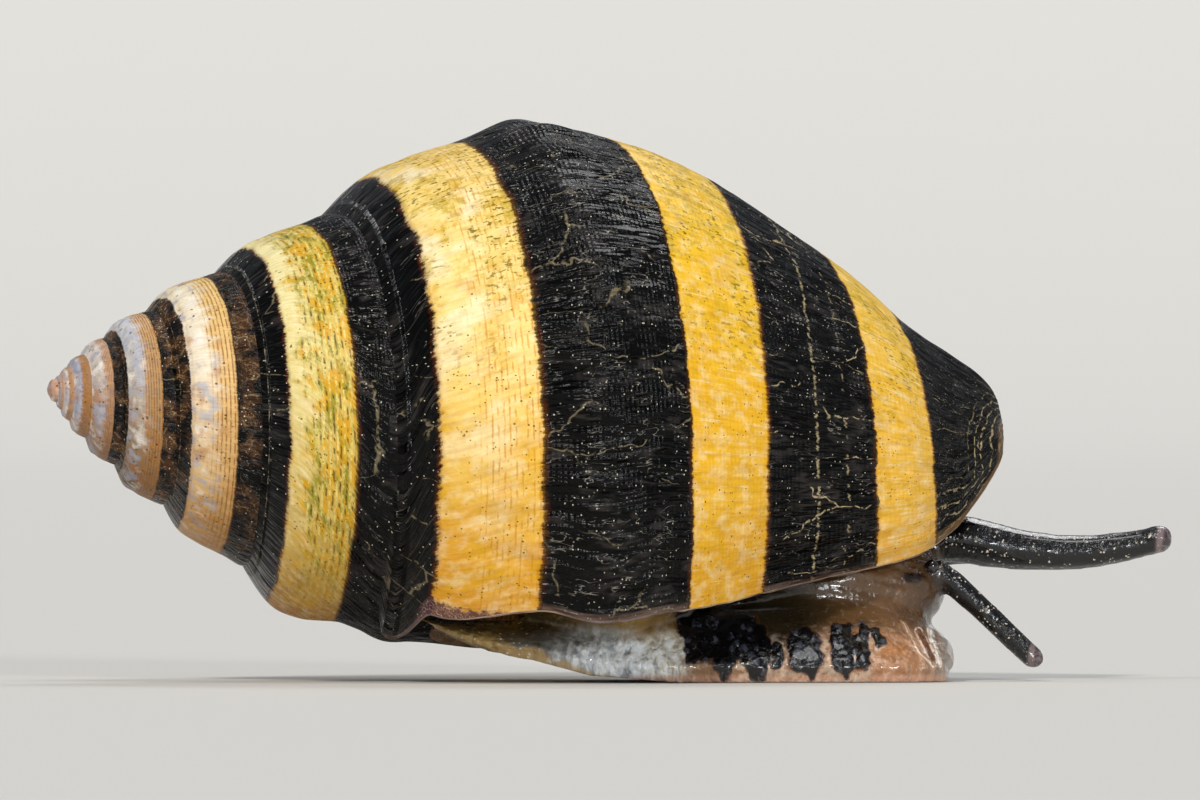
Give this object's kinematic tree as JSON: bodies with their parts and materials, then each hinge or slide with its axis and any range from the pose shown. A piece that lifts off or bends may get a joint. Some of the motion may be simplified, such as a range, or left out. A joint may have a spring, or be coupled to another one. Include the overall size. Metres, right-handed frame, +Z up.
{
  "type": "striped whelk snail",
  "caption": "Life-size crawling marine snail with a banded, right-handed spiral shell, flat foot, head, siphon and tentacles; a still museum model that rests on its sole.",
  "frame": {"origin": "centre of the bounding box, on the floor the sole rests on", "axes": "+X the way the snail heads, from the shell's apex to the siphon's tip; +Y to the snail's left; +Z up"},
  "size_m": [0.0212, 0.0112, 0.0105],
  "materials": {
    "shell_tip": "worn, satin, grey-lilac and pinkish tan",
    "shell_banded": "satin, cream to golden yellow bands on black, fine spiral and growth lines",
    "shell_lip": "pale pinkish tan edge with growth lamellae",
    "operculum": "thin brown horn, satin",
    "foot_skin": "wet, pearly grey-white with glossy black blotches",
    "foot_front_skin": "wet, cream to orange tan",
    "head_skin": "wet, translucent brown and cream",
    "feeler_skin": "wet glossy black with cream specks, clear tips",
    "eye": "glossy black bead"
  },
  "bodies": {
    "root": {"shell_apex": "shell_tip", "shell_spire_upper": "shell_tip", "shell_spire_middle": "shell_banded", "shell_spire_lower": "shell_banded", "shell_body_whorl": "shell_banded", "shell_outer_lip": "shell_lip", "operculum": "operculum", "foot_tail": "foot_skin", "foot_sole": "foot_skin", "foot_front": "foot_front_skin", "body_column": "head_skin", "head": "head_skin", "siphon": "feeler_skin", "tentacle_right": "feeler_skin", "tentacle_left": "feeler_skin", "eye_right": "eye", "eye_left": "eye"}
  },
  "joints": []
}
